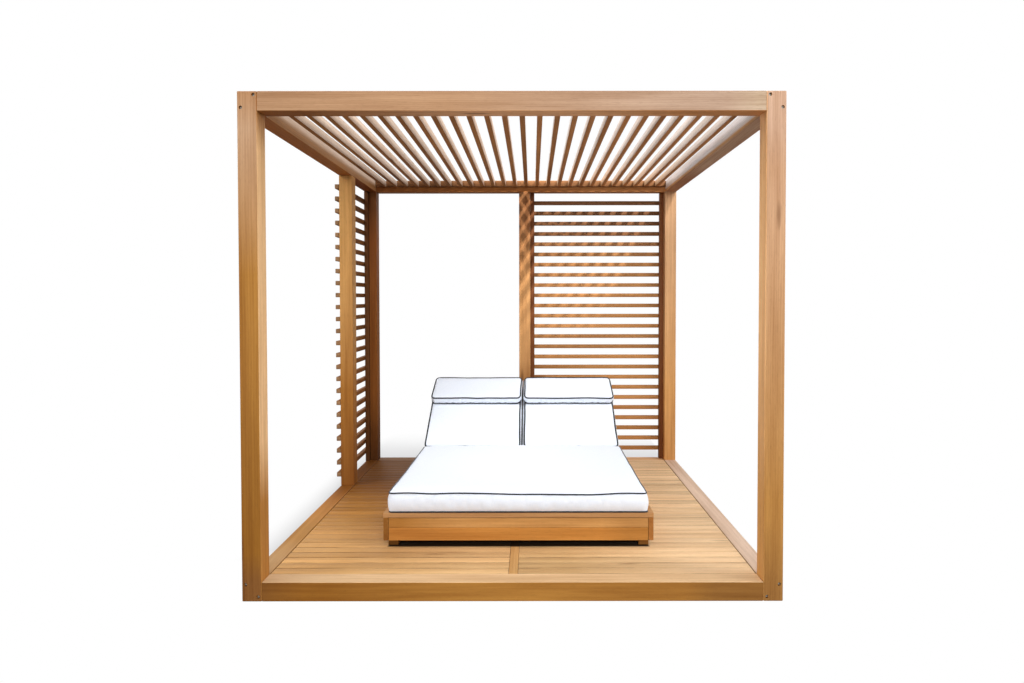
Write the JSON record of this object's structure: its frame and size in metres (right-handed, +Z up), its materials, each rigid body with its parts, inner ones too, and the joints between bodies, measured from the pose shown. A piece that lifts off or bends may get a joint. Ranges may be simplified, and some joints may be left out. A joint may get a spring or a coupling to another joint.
{
  "type": "outdoor canopy daybed",
  "caption": "Square slatted-roof timber pavilion with slat screens and a plank deck, holding a wide cushioned chaise whose backrests recline on notched racks.",
  "frame": {"origin": "on the ground, under the middle of the bounding box", "axes": "+X to the right seen from the open front, +Y from the front to the rear, +Z up"},
  "size_m": [2.676, 2.456, 2.48],
  "materials": {
    "post_teak": "oiled",
    "base_teak": "oiled",
    "deck_teak": "oiled",
    "chaise_teak": "oiled",
    "fabric": "woven",
    "piping": "woven",
    "dark_steel": "satin",
    "bright_steel": "brushed"
  },
  "bodies": {
    "root": {"post_front_left": "post_teak", "post_front_right": "post_teak", "post_rear_left": "post_teak", "post_rear_right": "post_teak", "post_rear_middle": "post_teak", "post_left_middle": "post_teak", "beam_top_front": "post_teak", "beam_top_rear": "post_teak", "beam_top_left": "post_teak", "beam_top_right": "post_teak", "beam_base_front": "base_teak", "beam_base_rear": "base_teak", "beam_base_left": "base_teak", "beam_base_right": "base_teak", "bolt_top_left_inner": "dark_steel", "bolt_top_left_outer": "dark_steel", "bolt_bottom_left_inner": "dark_steel", "bolt_bottom_left_outer": "dark_steel", "bolt_top_right_inner": "dark_steel", "bolt_top_right_outer": "dark_steel", "bolt_bottom_right_inner": "dark_steel", "bolt_bottom_right_outer": "dark_steel", "deck_center_rail": "deck_teak", "deck_panel_left": "deck_teak", "deck_panel_right": "deck_teak", "roof_panel_left": "post_teak", "roof_panel_right": "post_teak", "screen_rear": "base_teak", "screen_left": "base_teak", "chaise_left_board": "chaise_teak", "chaise_right_board": "chaise_teak", "chaise_front_board": "chaise_teak", "chaise_rear_board": "chaise_teak", "foot_front_left": "chaise_teak", "foot_front_right": "chaise_teak", "foot_rear_left": "chaise_teak", "foot_rear_right": "chaise_teak", "chaise_center_bearer": "chaise_teak", "chaise_cross_bearer": "chaise_teak", "chaise_hinge_bearer": "chaise_teak", "seat_frame": "chaise_teak", "hinge_rod_left": "bright_steel", "hinge_rod_right": "bright_steel", "rack_left_inner": "chaise_teak", "rack_left_outer": "chaise_teak", "rack_right_inner": "chaise_teak", "rack_right_outer": "chaise_teak", "seat_mattress": "fabric"},
    "back_left": {"backrest_left": "chaise_teak", "back_cushion_left": "fabric", "head_pillow_left": "fabric"},
    "back_right": {"backrest_right": "chaise_teak", "back_cushion_right": "fabric", "head_pillow_right": "fabric"},
    "support_left": {"prop_left": "chaise_teak", "prop_rod_left": "bright_steel"},
    "support_right": {"prop_right": "chaise_teak", "prop_rod_right": "bright_steel"}
  },
  "joints": [
    {"name": "recline_left", "type": "hinge", "parent": "root", "child": "back_left", "pos_m": [-0.3455, 0.408, 0.2686], "axis": [1, 0, 0], "range_deg": [-40, 25]},
    {"name": "recline_right", "type": "hinge", "parent": "root", "child": "back_right", "pos_m": [0.4145, 0.408, 0.2686], "axis": [1, 0, 0], "range_deg": [-40, 25]},
    {"name": "prop_swing_left", "type": "hinge", "parent": "back_left", "child": "support_left", "pos_m": [-0.3455, 0.65202, 0.42897], "axis": [1, 0, 0], "range_deg": [-51, 81]},
    {"name": "prop_swing_right", "type": "hinge", "parent": "back_right", "child": "support_right", "pos_m": [0.4145, 0.65202, 0.42897], "axis": [1, 0, 0], "range_deg": [-51, 81]}
  ],
  "couplings": [
    {"joint": "prop_swing_left", "follows": "recline_left", "ratio": -2},
    {"joint": "prop_swing_right", "follows": "recline_right", "ratio": -2}
  ]
}
